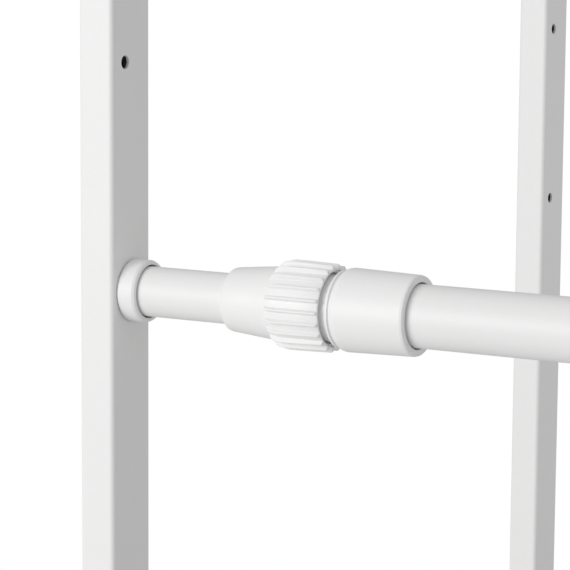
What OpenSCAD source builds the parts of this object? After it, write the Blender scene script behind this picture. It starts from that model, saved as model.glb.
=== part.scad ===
// Free-standing garment rail: two ladder side frames of rectangular tube, joined by
// telescopic rails whose width is set by sliding and locked with a ribbed twist nut.
// X runs along the rails, Y from front to rear, Z up. The origin is on the floor,
// midway between the side frames at rest and midway between the two rails' axes.
// All sizes are millimetres.

/* [Stand] */
// Clear width between the two side frames at rest
clear_w = 860; // [840:10:1000]
// Overall height of the stand
stand_h = 1700; // [1600:10:1900]
// Front to rear spacing of the posts, centre to centre
post_pitch = 458; // [380:1:520]
// Height of the hanging rail's axis above the floor
hang_z = 1540; // [1300:10:1550]
// Height of the tie rail's axis above the floor
tie_z = 230; // [200:10:400]

/* [Post] */
// Width of a post, seen from the front
post_w = 17.8; // [15:0.1:20]
// Depth of a post, front to rear
post_d = 29.8; // [28:0.1:34]
// Wall of the post tube
post_wall = 1.2; // [1:0.1:1.5]
// Outer corner radius of the post tube
post_r = 2.4; // [2:0.1:3]
// Diameter of the fixing holes
hole_d = 6; // [5.5:0.1:6.5]
// Vertical pitch of the fixing holes
hole_pitch = 100; // [90:1:120]
// Front face of the post to the column of holes
hole_inset = 9.8; // [8.5:0.1:12]
// Front face of the post to the axis of a rail
rail_inset = 16.2; // [16:0.1:18]

/* [Rail] */
// Outer diameter of the thin, inner tube
inner_d = 22; // [21.6:0.1:22.2]
// Outer diameter of the thick, outer tube
outer_d = 26.6; // [26.4:0.1:26.8]
// Wall of both tubes
tube_wall = 1; // [0.8:0.1:1]
// Depth of the end sockets
socket_depth = 9; // [8:0.5:12]
// Number of grip ribs round the twist nut
rib_count = 22; // [16:1:24]

/* [Hidden] */
$fn = 96;
half_w = clear_w / 2;
front_y = -post_pitch / 2 - rail_inset;
rear_y = front_y + post_pitch;
foot_h = 6;
cap_h = 3;
plug_depth = 18;
running = 0.05;

// Rungs
rung_d = 16;
rung_wall = 1.2;
top_rung_z = stand_h - 18;
mid_rung_z = 860;
low_rung_z = 110;

// Radii along a rail
inner_r = inner_d / 2;
outer_r = outer_d / 2;
inner_bore_r = inner_r - tube_wall;
outer_bore_r = outer_r - tube_wall;

// Stations along a rail, from the left post's face
socket_floor = 2.5;
socket_gap = 0.8;
socket_wall = 1.9;
base_relief = 0.6;
nose_x = 52.4;
rib_x = 75.2;
nut_end_x = 101.5;
clamp_x = 76;
cone_x = 84.3;
cone_end_x = 90;
thread_end_x = cone_x + 0.3;
stop_x = 101;
collar_x = 104.6;
collar_body_x = 107.2;
collar_end_x = 140.7;
inner_tube_end = 780;
bush_length = 22;

// Twist lock
thread_r = 15;
thread_root_r = 14.2;
thread_pitch = 2.5;
thread_count = 5;
thread_x = 87;
rib_angle = 6.4;
rib_phase = 7.3;
rib_tip_r = 19.2;
split_gap = 2;

// Fasteners
screw_r = 2.4;
screw_hole_r = 2.7;
screw_head_r = 3.9;
screw_head_h = 2.4;
tube_seat = socket_floor + screw_head_h + 0.1;
nut_across_r = 4.6;
nut_h = 3;

white = [0.94, 0.94, 0.94];
plastic_white = [0.96, 0.96, 0.95];
zinc = [0.72, 0.73, 0.75];
natural_nylon = [0.88, 0.87, 0.82];

SIDES = ["left", "right"];
RAILS = ["hanging", "tie"];
FRAME_PARTS = ["front_post", "rear_post", "top_rung", "mid_rung", "low_rung",
    "front_cap", "rear_cap", "front_foot", "rear_foot"];
RAIL_PARTS = ["left_socket", "left_screw", "left_nut", "inner_tube", "inner_plug", "guide_bush",
    "clamp_ring", "lock_nut", "collar", "outer_tube", "right_socket", "right_screw", "right_nut"];
FRAME_NODES = [for (side = SIDES, part = FRAME_PARTS) str(side, "_", part)];
RAIL_NODES = [for (rail = RAILS, part = RAIL_PARTS) str(rail, "_", part)];

// ---- Shared shapes ----

// A rectangle with round corners, centred on the origin
module round_rect(w, d, r) {
    square([w - 2 * r, d], center = true);
    square([w, d - 2 * r], center = true);
    for (sx = [-1, 1], sy = [-1, 1])
        translate([sx * (w / 2 - r), sy * (d / 2 - r)]) circle(r);
}

// A solid of revolution along +X from a profile of [x, radius] points
module turned(profile, sweep = 360) {
    rotate([0, 90, 0])
        rotate_extrude(angle = sweep) polygon([for (p = profile) [p[1], p[0]]]);
}

// A tube along +X
module pipe(x0, x1, r_out, r_in) {
    turned([[x0, r_in], [x1, r_in], [x1, r_out], [x0, r_out]]);
}

// Puts a left-hand shape on its side of the stand
module on_side(side) {
    if (side == "left") translate([-half_w, 0, 0]) children();
    else translate([half_w, 0, 0]) mirror([1, 0, 0]) children();
}

// ---- Side frames, drawn for the left side with the inner face at x = 0 ----

// Post: rectangular steel tube, with pairs of holes in its inner face for both rails
module post(y) {
    color(white) translate([0, y, 0]) difference() {
        translate([-post_w / 2, post_d / 2, foot_h])
            linear_extrude(stand_h - foot_h - cap_h) difference() {
                round_rect(post_w, post_d, post_r);
                round_rect(post_w - 2 * post_wall, post_d - 2 * post_wall, post_r - post_wall);
            }
        for (rail_z = [tie_z, hang_z], z = [rail_z, rail_z + hole_pitch])
            translate([-post_wall - 1, hole_inset, z])
                rotate([0, 90, 0]) cylinder(d = hole_d, h = post_wall + 2);
    }
}

// Rung: round tube welded between the two posts of a side frame
module rung(z) {
    color(white) translate([-post_w / 2, front_y + post_d, z]) rotate([-90, 0, 0])
        difference() {
            cylinder(d = rung_d, h = post_pitch - post_d);
            translate([0, 0, -1]) cylinder(d = rung_d - 2 * rung_wall, h = post_pitch - post_d + 2);
        }
}

// Plug that fills the end of a post tube, with its plate at z = 0 to plate_h
module tube_plug(plate_h, spigot_up) {
    inner_w = post_w - 2 * post_wall;
    inner_d_y = post_d - 2 * post_wall;
    color(plastic_white) translate([-post_w / 2, post_d / 2, 0]) {
        linear_extrude(plate_h) round_rect(post_w, post_d, post_r);
        translate([0, 0, spigot_up ? plate_h : -plug_depth]) linear_extrude(plug_depth) difference() {
            round_rect(inner_w, inner_d_y, post_r - post_wall);
            round_rect(inner_w - 3, inner_d_y - 3, 0.4);
        }
    }
}

// Cap on top of a post, and foot under it
module cap(y) { translate([0, y, stand_h - cap_h]) tube_plug(cap_h, false); }
module foot(y) { translate([0, y, 0]) tube_plug(foot_h, true); }

module frame_part(part) {
    if (part == "front_post") post(front_y);
    if (part == "rear_post") post(rear_y);
    if (part == "top_rung") rung(top_rung_z);
    if (part == "mid_rung") rung(mid_rung_z);
    if (part == "low_rung") rung(low_rung_z);
    if (part == "front_cap") cap(front_y);
    if (part == "rear_cap") cap(rear_y);
    if (part == "front_foot") foot(front_y);
    if (part == "rear_foot") foot(rear_y);
}

// ---- Telescopic rail, drawn along +X from the left post's face, on its own axis ----

hole_to_axis = rail_inset - hole_inset;

// Socket: moulded cup that holds a tube end against the post
module socket(tube_r) {
    bore = tube_r + socket_gap;
    rim = bore + socket_wall;
    color(plastic_white) difference() {
        turned([[0, 0], [socket_depth, 0], [socket_depth, rim - 1.1], [socket_depth - 0.4, rim - 0.5],
            [socket_depth - 1.4, rim], [base_relief, rim], [base_relief, rim - 1.2], [0, rim - 1.2]]);
        turned([[socket_floor, 0], [socket_depth + 1, 0], [socket_depth + 1, bore], [socket_floor, bore]]);
        translate([-1, -hole_to_axis, 0]) rotate([0, 90, 0]) cylinder(r = screw_hole_r, h = socket_floor + 2);
    }
}

// Screw: pan head in the socket, shank through the post wall
module socket_screw() {
    color(zinc) translate([0, -hole_to_axis, 0]) difference() {
        union() {
            translate([-9, 0, 0]) rotate([0, 90, 0]) cylinder(r = screw_r, h = 9 + socket_floor + 1);
            translate([socket_floor, 0, 0]) rotate([0, 90, 0]) cylinder(r = screw_head_r, h = screw_head_h - 0.6);
            translate([socket_floor + screw_head_h - 0.6, 0, 0]) rotate([0, 90, 0])
                cylinder(r1 = screw_head_r, r2 = screw_head_r - 0.6, h = 0.6);
        }
        for (turn = [0, 90]) rotate([turn, 0, 0])
            translate([socket_floor + screw_head_h - 1.6, -2.4, -0.5]) cube([2, 4.8, 1]);
    }
}

// Nut: hexagon behind the post wall, inside the tube
module screw_nut() {
    color(zinc) translate([-post_wall - nut_h, -hole_to_axis, 0]) rotate([0, 90, 0]) difference() {
        cylinder(r = nut_across_r, h = nut_h, $fn = 6);
        translate([0, 0, -1]) cylinder(r = screw_r, h = nut_h + 2);
    }
}

module inner_tube() {
    color(white) pipe(tube_seat, inner_tube_end, inner_r, inner_bore_r);
}

// Plug: closes the inner tube where it sits in the left socket, clear of the screw head
module inner_plug() {
    plate_x = tube_seat + 1;
    color(plastic_white) pipe(plate_x, plate_x + 12, inner_bore_r, inner_bore_r - 1.5);
    color(plastic_white) pipe(plate_x + 12, plate_x + 14, inner_bore_r, 0);
}

// Guide bush: runs inside the outer tube and keeps the hidden end of the inner tube central
module guide_bush() {
    x0 = inner_tube_end - bush_length;
    x1 = inner_tube_end;
    color(natural_nylon) turned([[x0, inner_r], [x1, inner_r], [x1, 0], [x1 + 2, 0],
        [x1 + 2, outer_bore_r - running - 0.6], [x1 + 1.4, outer_bore_r - running],
        [x0 + 0.8, outer_bore_r - running], [x0, outer_bore_r - running - 0.8]]);
}

// Clamp ring: split taper ring that the nut squeezes onto the inner tube
module clamp_ring() {
    bore = inner_r + running;
    flange = thread_root_r - 0.8;
    color(natural_nylon) difference() {
        turned([[clamp_x, bore], [cone_end_x, bore], [cone_end_x, inner_r + 0.8],
            [cone_x, inner_r + 2.1], [cone_x, flange], [clamp_x, flange]]);
        translate([clamp_x - 1, -split_gap / 2, -thread_r - 5]) cube([cone_end_x - clamp_x + 2, split_gap, thread_r + 5]);
    }
}

// One grip rib: a sector that rises steeply behind the nose, then falls slowly to its end
module grip_rib() {
    end_x = nut_end_x - 0.4;
    rotate([-rib_angle / 2, 0, 0]) turned([[rib_x, 15.2], [end_x, 15.2], [end_x, rib_tip_r - 0.9],
        [end_x - 0.6, rib_tip_r - 0.5], [rib_x + 5.5, rib_tip_r], [rib_x + 3.5, rib_tip_r - 0.2],
        [rib_x + 2, rib_tip_r - 0.8], [rib_x + 0.6, rib_tip_r - 2.2], [rib_x, rib_tip_r - 3.6]], rib_angle);
}

// Lock nut: moulded twist grip with a tapered nose and raised ribs
module lock_nut() {
    bore = inner_r + 0.45;
    color(plastic_white) difference() {
        union() {
            turned([[nose_x, 0], [nose_x, 13.2], [nose_x + 0.4, 13.6],
                [nose_x + 1.2, 13.85], [rib_x, 15.9], [rib_x + 3, 16.8], [rib_x + 7, 17.1],
                [nut_end_x - 0.5, 17.1], [nut_end_x, 16.8], [nut_end_x, 0]]);
            for (i = [0:rib_count - 1]) rotate([rib_phase + i * 360 / rib_count, 0, 0]) grip_rib();
        }
        turned([[nose_x - 1, 0], [nut_end_x + 1, 0], [nut_end_x + 1, 16.2], [nut_end_x - 1.8, 16.2],
            [nut_end_x - 1.8, thread_r + running], [cone_x - 0.2, thread_r + running],
            [cone_x - 0.2, thread_root_r], [clamp_x - 0.1, thread_root_r], [clamp_x - 0.1, bore + 1],
            [nose_x + 9, bore + 1], [nose_x + 9, bore], [nose_x - 1, bore]]);
    }
}

// Collar: sleeve on the end of the outer tube, with the thread and the taper seat
module collar() {
    gap_r = outer_r + 0.8;
    color(plastic_white) difference() {
        union() {
            turned([[thread_end_x, 0], [thread_end_x, thread_root_r], [collar_x, thread_root_r], [collar_x, 16.5],
                [collar_x + 0.3, 16.7], [collar_x + 1, 16.7], [collar_x + 1.2, 15.9], [collar_body_x, 15.9],
                [collar_body_x, 16.9], [collar_body_x + 0.8, 17.5], [collar_body_x + 2.2, 17.75],
                [collar_end_x - 1.3, 17], [collar_end_x - 0.4, 16.75], [collar_end_x, 16.3], [collar_end_x, 0]]);
            for (i = [0:thread_count - 1]) turned([for (p = [[-0.8, -0.2], [-0.3, 0.8], [0.3, 0.8], [0.8, -0.2]])
                [thread_x + i * thread_pitch + p[0], thread_root_r + p[1]]]);
        }
        turned([[thread_end_x - 1, 0], [thread_end_x - 1, inner_r + 2.3], [thread_end_x, inner_r + 2.3],
            [cone_end_x + 0.3, inner_r + 1], [cone_end_x + 0.3, inner_r + 0.3], [stop_x, inner_r + 0.3],
            [stop_x, outer_r], [collar_end_x - 3, outer_r], [collar_end_x - 3, gap_r], [collar_end_x + 1, gap_r],
            [collar_end_x + 1, 0]]);
    }
}

module outer_tube() {
    color(white) pipe(stop_x, clear_w - tube_seat, outer_r, outer_bore_r);
}

// Puts a rail on its axis: the hanging rail high at the front, the tie rail low at the rear
module on_axis(rail) {
    if (rail == "hanging") translate([0, front_y + rail_inset, hang_z]) children();
    else translate([0, rear_y + rail_inset, tie_z]) children();
}

module rail_part(part) {
    if (part == "left_socket") socket(inner_r);
    if (part == "left_screw") socket_screw();
    if (part == "left_nut") screw_nut();
    if (part == "inner_tube") inner_tube();
    if (part == "inner_plug") inner_plug();
    if (part == "guide_bush") guide_bush();
    if (part == "clamp_ring") clamp_ring();
    if (part == "lock_nut") lock_nut();
    if (part == "collar") collar();
    if (part == "outer_tube") outer_tube();
    translate([clear_w, 0, 0]) mirror([1, 0, 0]) {
        if (part == "right_socket") socket(outer_r);
        if (part == "right_screw") socket_screw();
        if (part == "right_nut") screw_nut();
    }
}

// ---- Assembly ----

for (side = SIDES, part = FRAME_PARTS)
    on_side(side) frame_part(part);

for (rail = RAILS, part = RAIL_PARTS)
    translate([-half_w, 0, 0]) on_axis(rail) rail_part(part);
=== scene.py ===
import math

import bmesh
import bpy
from mathutils import Matrix, Vector


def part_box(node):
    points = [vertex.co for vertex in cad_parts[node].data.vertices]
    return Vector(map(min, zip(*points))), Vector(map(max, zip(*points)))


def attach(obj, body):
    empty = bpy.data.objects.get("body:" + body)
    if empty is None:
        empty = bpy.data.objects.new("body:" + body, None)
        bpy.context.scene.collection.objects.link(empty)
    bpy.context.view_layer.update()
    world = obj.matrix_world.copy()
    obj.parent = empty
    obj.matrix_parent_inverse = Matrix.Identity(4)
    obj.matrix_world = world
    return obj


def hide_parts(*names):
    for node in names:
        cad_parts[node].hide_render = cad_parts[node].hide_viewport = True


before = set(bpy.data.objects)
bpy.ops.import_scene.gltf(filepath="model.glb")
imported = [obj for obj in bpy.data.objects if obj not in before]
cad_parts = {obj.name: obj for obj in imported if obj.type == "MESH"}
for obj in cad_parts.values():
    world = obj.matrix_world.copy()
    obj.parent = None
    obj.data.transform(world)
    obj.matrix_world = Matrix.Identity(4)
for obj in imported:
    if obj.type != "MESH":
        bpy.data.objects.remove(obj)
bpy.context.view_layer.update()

# Side frames. Each is two posts of rectangular steel tube with three round rungs between them,
# drilled on the inner face for the rails, and powder coated white in one go after welding.
# The coat is satin, with a fine orange peel and a thickness that wanders a little.
MM = 0.001


class Wire:
    """One output of a shader node, which can be used in a sum as a number."""

    def __init__(self, socket):
        self.socket = socket

    def maths(self, operation, first, second):
        tree = self.socket.id_data
        node = tree.nodes.new("ShaderNodeMath")
        node.operation = operation
        for slot, value in zip(node.inputs, (first, second)):
            if isinstance(value, Wire):
                tree.links.new(value.socket, slot)
            else:
                slot.default_value = value
        return Wire(node.outputs[0])

    def __add__(self, other):
        return self.maths("ADD", self, other)

    def __sub__(self, other):
        return self.maths("SUBTRACT", self, other)

    def __rsub__(self, other):
        return self.maths("SUBTRACT", other, self)

    def __mul__(self, other):
        return self.maths("MULTIPLY", self, other)

    __radd__ = __add__
    __rmul__ = __mul__


class Finish:
    """A surface finish: one material, whose nodes are added one by one."""

    def __init__(self, name):
        self.material = bpy.data.materials.new(name)
        self.material.use_nodes = True
        self.tree = self.material.node_tree
        self.tree.nodes.clear()
        self.place = self.node("ShaderNodeTexCoord", "Object")

    def node(self, kind, output=None, settings=None, sockets=None):
        """Adds a node: its settings first, then its sockets' values or links."""
        node = self.tree.nodes.new(kind)
        for name, value in (settings or {}).items():
            if name == "stops":
                for stop, (position, colour) in zip(node.color_ramp.elements, value):
                    stop.position = position
                    stop.color = (*colour, 1)
            else:
                setattr(node, name, value)
        for name, value in (sockets or {}).items():
            if isinstance(value, Wire):
                self.tree.links.new(value.socket, node.inputs[name])
            else:
                node.inputs[name].default_value = value
        return Wire(node.outputs[output]) if output else None

    def noise(self, size, detail=2.0, place=None):
        """Soft random variation with features about size metres across."""
        return self.node("ShaderNodeTexNoise", "Fac", {"noise_dimensions": "3D"},
                         {"Vector": place or self.place, "Scale": 1 / size, "Detail": detail})

    def stretched(self, along_x):
        """Object coordinates squeezed along X, for marks that run along a tube."""
        return self.node("ShaderNodeMapping", "Vector", {"vector_type": "POINT"},
                         {"Vector": self.place, "Scale": (along_x, 1, 1)})

    def blend(self, amount, low_colour, high_colour):
        """Goes from one colour to the other over the middle of a noise's range."""
        return self.node("ShaderNodeValToRGB", "Color",
                         {"stops": [(0.3, low_colour), (0.7, high_colour)]}, {"Fac": amount})

    def done(self, colour, roughness, relief, relief_depth, constants=None):
        """Ends the material with a bump relief, its depth in metres, and a Principled shader."""
        bump = self.node("ShaderNodeBump", "Normal", None,
                         {"Height": relief, "Distance": relief_depth, "Strength": 1.0})
        sockets = {"Base Color": colour, "Roughness": roughness, "Normal": bump, **(constants or {})}
        shader = self.node("ShaderNodeBsdfPrincipled", "BSDF", None, sockets)
        self.node("ShaderNodeOutputMaterial", None, None, {"Surface": shader})
        return self.material


def white(level, warmth=0.002):
    return (level + warmth, level, level - warmth)


def powder_coat(name, level, sheen_roughness, peel_size):
    finish = Finish(name)
    thickness = finish.noise(60 * MM, 3)
    peel = finish.noise(peel_size, 1)
    nibs = finish.noise(peel_size / 4, 0)
    colour = finish.blend(thickness + 0.2 * (peel - 0.5), white(level - 0.014), white(level))
    roughness = sheen_roughness + 0.08 * thickness + 0.05 * nibs
    return finish.done(colour, roughness, peel + 0.12 * nibs, 0.05 * MM, {"Specular IOR Level": 0.45})


def dress(node_name, material, edge=0.0):
    """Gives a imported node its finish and, if edge is set, softly rounded corners."""
    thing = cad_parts[node_name]
    thing.data.materials.clear()
    thing.data.materials.append(material)
    if edge:
        weld = thing.modifiers.new("joined corners", "WELD")
        weld.merge_threshold = 0.001 * MM
        rounding = thing.modifiers.new("rounded corners", "BEVEL")
        rounding.width = edge
        rounding.segments = 3
        rounding.limit_method = "ANGLE"
        rounding.angle_limit = math.radians(50)


SIDES = ("left", "right")
frame_coat = powder_coat("frame_powder_coat", 0.86, 0.4, 1.3 * MM)
for side in SIDES:
    for part in ("front_post", "rear_post", "top_rung", "mid_rung", "low_rung"):
        dress(f"{side}_{part}", frame_coat)

# Weld beads. A short run of weld goes right round each rung where it meets a post. It is steel,
# coated with the frame, so it only shows as a soft, slightly lumpy ring in the corner.
rung_ends = []
for side in SIDES:
    for part in ("top_rung", "mid_rung", "low_rung"):
        low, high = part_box(f"{side}_{part}")
        centre = (low + high) / 2
        rung_radius = (high.z - low.z) / 2
        rung_ends.append((f"{side}_{part}_front_weld", side, Vector((centre.x, low.y, centre.z))))
        rung_ends.append((f"{side}_{part}_rear_weld", side, Vector((centre.x, high.y, centre.z))))


def select_points(thing, wanted):
    """Selects, in edit mode, the points of a piece whose place passes a test."""
    shape = bmesh.from_edit_mesh(thing.data)
    for point in shape.verts:
        point.select = wanted(point.co)
    shape.select_flush_mode()
    bmesh.update_edit_mesh(thing.data)


def at_origin(thing):
    """Moves a finished piece's place, turn and scale into its mesh."""
    bpy.ops.object.select_all(action="DESELECT")
    thing.select_set(True)
    bpy.context.view_layer.objects.active = thing
    bpy.ops.object.transform_apply(location=True, rotation=True, scale=True)


bead_width = 3.0 * MM
ripples = 30
points_per_ripple = 3
within_one_point = 0.9995
ripple_swell = (1.012, 1.12, 1.012)
lumpiness = 0.12 * MM
bpy.ops.object.select_all(action="DESELECT")
bpy.ops.mesh.primitive_torus_add(major_segments=ripples * points_per_ripple, minor_segments=12,
                                 major_radius=rung_radius, minor_radius=bead_width / 2,
                                 location=(0, 0, 0), rotation=(math.pi / 2, 0, 0))
bead_shape = bpy.context.active_object
at_origin(bead_shape)
bpy.ops.object.mode_set(mode="EDIT")
bpy.ops.mesh.select_mode(type="VERT")
for ripple in range(ripples):
    middle = 2 * math.pi * ripple / ripples
    select_points(bead_shape,
                  lambda place: math.cos(math.atan2(place.z, place.x) - middle) > within_one_point)
    bpy.ops.transform.resize(value=ripple_swell, center_override=(0, 0, 0))
bpy.ops.mesh.select_all(action="SELECT")
bpy.ops.transform.vertex_random(offset=lumpiness, seed=4)
bpy.ops.object.mode_set(mode="OBJECT")
bpy.ops.object.shade_smooth()
bead_shape.data.materials.append(frame_coat)
for name, side, place in rung_ends:
    bead = bead_shape.copy()
    bead.data = bead_shape.data.copy()
    bead.name = name
    bpy.context.collection.objects.link(bead)
    bead.location = place
    at_origin(bead)
    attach(bead, f"{side}_frame")
bpy.data.objects.remove(bead_shape)

# End plugs. The open ends of the posts are closed with moulded polyethylene plugs, a thin one
# on top and a thick one as the foot, pushed in on hollow spigots. Their corners are softened.


def moulded(name, level, sheen_roughness, grain_size, warmth=0.002, grain_depth=0.02 * MM):
    finish = Finish(name)
    flow = finish.noise(25 * MM, 2)
    grain = finish.noise(grain_size, 1)
    speck = finish.noise(0.9 * MM, 2)
    colour = finish.blend(flow + 0.15 * (speck - 0.5), white(level - 0.012, warmth), white(level, warmth))
    roughness = sheen_roughness + 0.07 * flow + 0.06 * grain
    return finish.done(colour, roughness, grain + 0.3 * speck, grain_depth, {"Specular IOR Level": 0.5})


plug_edge = 0.7 * MM
plug_plastic = moulded("plug_polyethylene", 0.84, 0.46, 0.35 * MM, 0.004)
for side in SIDES:
    for part in ("front_cap", "rear_cap", "front_foot", "rear_foot"):
        dress(f"{side}_{part}", plug_plastic, plug_edge)

# Tubes. The thin and the thick tube of each telescopic rail are drawn steel tube with a thin,
# smooth white coat. The thin one is a little shinier where the bush and the nut slide over it.
RAILS = ("hanging", "tie")


def tube_coat(name, level, sheen_roughness, rub):
    finish = Finish(name)
    thickness = finish.noise(40 * MM, 2)
    peel = finish.noise(1.6 * MM, 1)
    rubs = finish.noise(0.7 * MM, 2, finish.stretched(0.02))
    colour = finish.blend(thickness, white(level - 0.012), white(level))
    roughness = sheen_roughness + 0.06 * thickness - rub * rubs
    return finish.done(colour, roughness, peel + 0.1 * rubs, 0.03 * MM, {"Specular IOR Level": 0.4})


thin_coat = tube_coat("thin_tube_coat", 0.86, 0.46, 0.08)
thick_coat = tube_coat("thick_tube_coat", 0.86, 0.42, 0.02)
for rail in RAILS:
    dress(f"{rail}_inner_tube", thin_coat)
    dress(f"{rail}_outer_tube", thick_coat)

# Sockets. A moulded polypropylene cup holds each end of a rail against the post. A zinc plated
# cross-head screw through its floor goes into a nut behind the post's wall.
socket_plastic = moulded("socket_polypropylene", 0.87, 0.42, 0.3 * MM)


def zinc_plate(name):
    finish = Finish(name)
    spangle = finish.noise(1.2 * MM, 2)
    scuffs = finish.noise(0.15 * MM, 1, finish.stretched(6))
    colour = finish.blend(spangle, (0.58, 0.6, 0.63), (0.7, 0.71, 0.73))
    return finish.done(colour, 0.24 + 0.2 * spangle, scuffs, 0.01 * MM, {"Metallic": 1.0})


zinc = zinc_plate("zinc_plate")
for rail in RAILS:
    for end in SIDES:
        dress(f"{rail}_{end}_socket", socket_plastic)
        dress(f"{rail}_{end}_screw", zinc)
        dress(f"{rail}_{end}_nut", zinc)

# Hidden mouldings. The plug in the thin tube's end, the bush that keeps its far end central in
# the thick tube, and the split taper ring that the nut squeezes are bare nylon.
nylon = moulded("natural_nylon", 0.72, 0.42, 0.5 * MM, 0.03)
for rail in RAILS:
    for part in ("inner_plug", "guide_bush", "clamp_ring"):
        dress(f"{rail}_{part}", nylon)

# Collars. A smooth moulded sleeve on the end of each thick tube, with the male thread inside
# the nut. It tapers slightly and has a thin lip ahead of its body. Satin ABS.
collar_plastic = moulded("collar_abs", 0.89, 0.38, 0.28 * MM)
for rail in RAILS:
    dress(f"{rail}_collar", collar_plastic)

# Lock nuts. A moulded ABS twist grip: a blunt rounded edge, a smooth tapered nose, and then ribs
# that rise steeply out of the taper and run to the open end. Every edge has a small mould radius.
# The outlines are places along the nut and radii, in millimetres, with the ribs' rise as a third.
grip_ribs = 22
points_per_rib = 16
nut_low, nut_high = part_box("hanging_lock_nut")
nut_axis = (nut_low + nut_high) / 2
nut_length = (nut_high.x - nut_low.x) / MM
rib_start = 22.8
nose_outline = [(0, 13.3), (0.3, 13.6), (1.2, 13.85), (11, 14.8), (rib_start, 15.85)]
grip_outline = [(rib_start + 0.7, 16.1, 1.0), (rib_start + 2, 16.5, 1.75), (rib_start + 3.5, 16.8, 2.15),
                (rib_start + 5.5, 17.1, 2.1), (rib_start + 16, 17.1, 1.9), (nut_length - 0.6, 17.1, 1.6),
                (nut_length, 16.8, 1.3)]
inside_outline = [(nut_length, 16.25), (nut_length - 1.8, 16.2), (nut_length - 1.9, 15.1), (33.2, 15.1),
                  (33.1, 14.25), (24.9, 14.2), (24.8, 12.5), (9, 12.45), (8.8, 11.5), (0, 11.45), (0, 13.3)]
nut_outline = nose_outline + [(along, radius) for along, radius, rise in grip_outline] + inside_outline

bpy.ops.object.select_all(action="DESELECT")
bpy.ops.mesh.primitive_circle_add(vertices=grip_ribs * points_per_rib, radius=nut_outline[0][1] * MM,
                                  location=(nut_low.x, nut_axis.y, nut_axis.z),
                                  rotation=(0, math.pi / 2, 0))
nut_shape = bpy.context.active_object
at_origin(nut_shape)
bpy.ops.object.mode_set(mode="EDIT")
bpy.ops.mesh.select_mode(type="VERT")
bpy.ops.mesh.select_all(action="SELECT")
for (before, old_radius), (along, radius) in zip(nut_outline, nut_outline[1:]):
    bpy.ops.mesh.extrude_region_move(TRANSFORM_OT_translate={"value": ((along - before) * MM, 0, 0)})
    grow = radius / old_radius
    bpy.ops.transform.resize(value=(1, grow, grow), center_override=(0, nut_axis.y, nut_axis.z))
bpy.ops.mesh.select_all(action="SELECT")
bpy.ops.mesh.remove_doubles(threshold=0.01 * MM)


def steps_from_rib(place):
    """How many points a place is from the middle of the nearest rib."""
    angle = math.atan2(place.z - nut_axis.z, nut_axis.y - place.y)
    step = round(angle * grip_ribs * points_per_rib / (2 * math.pi)) % points_per_rib
    return min(step, points_per_rib - step)


def is_on_grip(place, along, radius):
    """Whether a place is on the ring of the grip at a distance along the nut and a radius."""
    reach = math.hypot(place.y - nut_axis.y, place.z - nut_axis.z)
    return abs(place.x - nut_low.x - along * MM) < 0.1 * MM and abs(reach - radius * MM) < 0.1 * MM


share_of_rise = ((0, 1.0), (1, 0.96), (2, 0.7))
for steps, share in share_of_rise:
    for along, radius, rise in grip_outline:
        select_points(nut_shape, lambda place: (steps_from_rib(place) == steps
                                                and is_on_grip(place, along, radius)))
        grow = 1 + share * rise / radius
        bpy.ops.transform.resize(value=(1, grow, grow), center_override=(0, nut_axis.y, nut_axis.z))
bpy.ops.mesh.select_all(action="SELECT")
bpy.ops.mesh.normals_make_consistent(inside=False)
bpy.ops.object.mode_set(mode="OBJECT")
mould_radius = nut_shape.modifiers.new("mould radius", "BEVEL")
mould_radius.width = 0.12 * MM
mould_radius.segments = 2
mould_radius.limit_method = "ANGLE"
mould_radius.angle_limit = math.radians(32)
bpy.ops.object.modifier_apply(modifier=mould_radius.name)
bpy.ops.object.shade_smooth_by_angle(angle=math.radians(40))
nut_plastic = moulded("nut_abs", 0.89, 0.38, 0.28 * MM)
nut_shape.data.materials.append(nut_plastic)
for rail in RAILS:
    lock_nut = nut_shape.copy()
    lock_nut.data = nut_shape.data.copy()
    lock_nut.name = f"{rail}_twist_grip"
    bpy.context.collection.objects.link(lock_nut)
    own_low, own_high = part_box(f"{rail}_lock_nut")
    lock_nut.location = (own_low + own_high) / 2 - nut_axis
    at_origin(lock_nut)
    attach(lock_nut, f"{rail}_nut")
    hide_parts(f"{rail}_lock_nut")
bpy.data.objects.remove(nut_shape)

# Studio floor: a wide, pale, matt disc that the stand is on. It is part of the studio and not of
# the object, so it is only staged.
bpy.ops.object.select_all(action="DESELECT")
bpy.ops.mesh.primitive_circle_add(vertices=96, radius=5, fill_type="NGON", location=(0, 0, 0))
floor = bpy.context.active_object
floor.name = "studio_floor"
floor_finish = Finish("pale_floor")
floor_colour = floor_finish.blend(floor_finish.noise(0.8), white(0.8), white(0.82))
floor_roughness = 0.6 + 0.1 * floor_finish.noise(0.3)
floor_texture = floor_finish.noise(0.02)
floor.data.materials.append(floor_finish.done(floor_colour, floor_roughness, floor_texture, 0.05 * MM))

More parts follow.
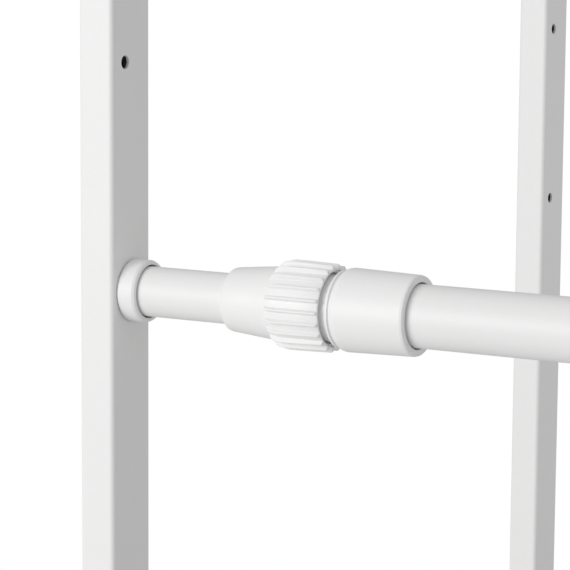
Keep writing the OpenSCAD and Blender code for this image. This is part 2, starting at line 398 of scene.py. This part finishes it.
# Studio light: a white surround that fills from all sides, and a large round softbox in front, to
# the left, so that the posts' inner faces stay in half shade. A weak one overhead and a weak, small
# one behind lift the tops of the tubes and the rear post. The surround looks white behind it all.
studio = bpy.data.worlds.new("white_surround")
bpy.context.scene.world = studio
studio.use_nodes = True
surround = studio.node_tree
fill_strength = 0.485
seen_strength = 1.0
ray = surround.nodes.new("ShaderNodeLightPath")
strength = surround.nodes.new("ShaderNodeMapRange")
strength.inputs["To Min"].default_value = fill_strength
strength.inputs["To Max"].default_value = seen_strength
surround.links.new(ray.outputs["Is Camera Ray"], strength.inputs["Value"])
surround.links.new(strength.outputs["Result"], surround.nodes["Background"].inputs["Strength"])
surround.nodes["Background"].inputs["Color"].default_value = (1, 1, 1, 1)
bpy.context.scene.view_settings.view_transform = "Standard"


def softbox(name, place, target, size, power):
    lamp = bpy.data.lights.new(name, "AREA")
    lamp.shape = "DISK"
    lamp.size = size
    lamp.energy = power
    stand = bpy.data.objects.new(name, lamp)
    aim = (Vector(target) - Vector(place)).to_track_quat("-Z", "Y")
    stand.matrix_world = Matrix.Translation(place) @ aim.to_matrix().to_4x4()
    bpy.context.scene.collection.objects.link(stand)


front_light_place = (-1.75, -3.1, 2.1)
overhead_light_place = (0.2, -0.3, 4.4)
rear_light_place = (0.1, 0.75, 1.5)
rear_post_place = (-0.44, 0.22, 1.5)
softbox("front_softbox", front_light_place, nut_axis, size=2.2, power=57)
softbox("overhead_softbox", overhead_light_place, (0, 0, 0), size=3.0, power=8)
softbox("rear_softbox", rear_light_place, rear_post_place, size=0.6, power=0.5)

# Camera: a long lens, close in on the left end of the hanging rail, from the front right and a
# little above. It is turned to the left, tipped down and hardly rolled.
lens_mm = 158.2
yaw = math.radians(29.685)
pitch = math.radians(8.136)
roll = math.radians(0.41)
ahead = Vector((-math.sin(yaw) * math.cos(pitch), math.cos(yaw) * math.cos(pitch), -math.sin(pitch)))
level_right = Vector((math.cos(yaw), math.sin(yaw), 0))
level_up = level_right.cross(ahead)
right = math.cos(roll) * level_right + math.sin(roll) * level_up
up = math.cos(roll) * level_up - math.sin(roll) * level_right
lens = bpy.data.cameras.new("camera")
lens.lens = lens_mm
lens.sensor_width = 36
camera = bpy.data.objects.new("camera", lens)
rail_start = Vector((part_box("hanging_left_socket")[0].x, nut_axis.y, nut_axis.z))
camera_offset = Vector((597.1, -913.2, 158.3)) * MM
camera_turn = Matrix((right, up, -ahead)).transposed().to_4x4()
camera.matrix_world = Matrix.Translation(rail_start + camera_offset) @ camera_turn
bpy.context.scene.collection.objects.link(camera)
bpy.context.scene.camera = camera
